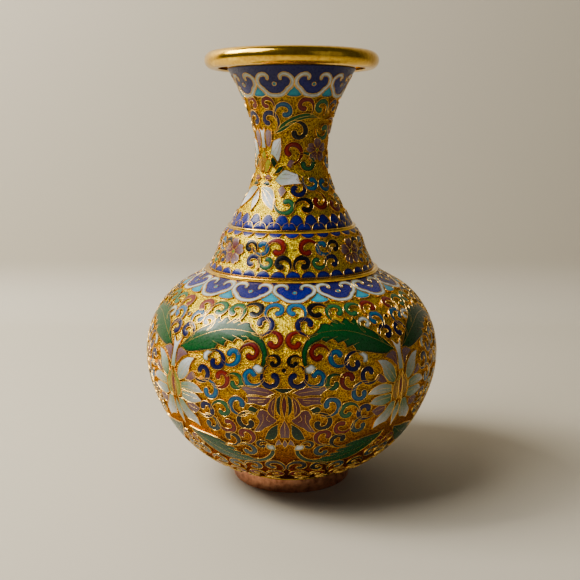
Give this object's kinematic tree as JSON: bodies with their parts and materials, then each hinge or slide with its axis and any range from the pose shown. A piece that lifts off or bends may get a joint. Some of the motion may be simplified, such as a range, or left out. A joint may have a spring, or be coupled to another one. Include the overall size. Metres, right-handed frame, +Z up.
{
  "type": "cloisonne vase",
  "caption": "Round-bellied vase with a flared neck and rolled lip: raised gilt copper shells covered with wired enamel scrolls, leaves and lotus flowers.",
  "frame": {"origin": "middle of the foot ring's underside, on the surface the vase stands on", "axes": "+Z up along the vase's axis; -Y faces the viewer who sees the drop blossom at the middle of the belly"},
  "size_m": [0.138, 0.138, 0.2],
  "materials": {
    "copper": "bare copper, browned",
    "counter_enamel": "plain counter enamel, slightly pitted",
    "enamel_black": "glossy black enamel",
    "enamel_blue": "glossy opaque enamel",
    "enamel_cobalt": "glossy deep blue enamel",
    "enamel_green": "glossy opaque enamel",
    "enamel_leaf_green": "glossy translucent green enamel",
    "enamel_mauve": "glossy dusky pink enamel",
    "enamel_navy": "glossy navy enamel",
    "enamel_red": "glossy brick-red enamel",
    "enamel_steel": "glossy grey-blue enamel",
    "enamel_turquoise": "glossy opaque enamel",
    "enamel_white": "glossy opaque enamel",
    "enamel_yellow_green": "glossy enamel shaded yellow to green",
    "gilt_ground": "gilded copper, stippled ground",
    "gilt_polished": "polished gilding with fine handling scratches",
    "gilt_wire": "gilded wire, worn matt on top"
  },
  "bodies": {
    "root": {"base_enamel": "counter_enamel", "belly_cloisons": "gilt_wire", "belly_drop_green": "enamel_leaf_green", "belly_drop_mauve": "enamel_mauve", "belly_drop_spears": "enamel_red", "belly_leaf_tips": "enamel_white", "belly_lining": "counter_enamel", "belly_lotus_hearts": "enamel_yellow_green", "belly_lotus_mauve": "enamel_mauve", "belly_lotus_spears": "enamel_red", "belly_lotus_white": "enamel_white", "belly_lower_leaves": "enamel_leaf_green", "belly_scrolls_black": "enamel_black", "belly_scrolls_blue": "enamel_blue", "belly_scrolls_green": "enamel_green", "belly_scrolls_navy": "enamel_navy", "belly_scrolls_red": "enamel_red", "belly_scrolls_steel": "enamel_steel", "belly_upper_leaves": "enamel_leaf_green", "collar_blossom_hearts": "enamel_yellow_green", "collar_blossoms": "enamel_mauve", "collar_cloisons": "gilt_wire", "collar_lining": "counter_enamel", "collar_scales_lower": "enamel_cobalt", "collar_scales_upper": "enamel_cobalt", "collar_scrolls_blue": "enamel_blue", "collar_scrolls_green": "enamel_green", "collar_scrolls_navy": "enamel_navy", "collar_scrolls_red": "enamel_red", "collar_shell": "gilt_ground", "foot_ring": "copper", "foot_wire": "gilt_polished", "lower_bowl_shell": "gilt_ground", "neck_band": "gilt_polished", "neck_cloisons": "gilt_wire", "neck_eyes": "enamel_turquoise", "neck_fields": "enamel_cobalt", "neck_flowers": "enamel_mauve", "neck_gems": "enamel_turquoise", "neck_lappets": "enamel_white", "neck_leaves": "enamel_leaf_green", "neck_lining": "counter_enamel", "neck_lotus_hearts": "enamel_yellow_green", "neck_lotus_pink": "enamel_mauve", "neck_lotus_white": "enamel_white", "neck_scales_lower": "enamel_cobalt", "neck_scales_upper": "enamel_cobalt", "neck_scrolls_blue": "enamel_blue", "neck_scrolls_green": "enamel_green", "neck_scrolls_navy": "enamel_navy", "neck_scrolls_red": "enamel_red", "neck_shell": "gilt_ground", "rolled_lip": "gilt_polished", "shoulder_band": "gilt_polished", "shoulder_cloisons": "gilt_wire", "shoulder_eyes": "enamel_turquoise", "shoulder_fields": "enamel_cobalt", "shoulder_gems": "enamel_turquoise", "shoulder_lappets": "enamel_white", "shoulder_shell": "gilt_ground"}
  },
  "joints": []
}
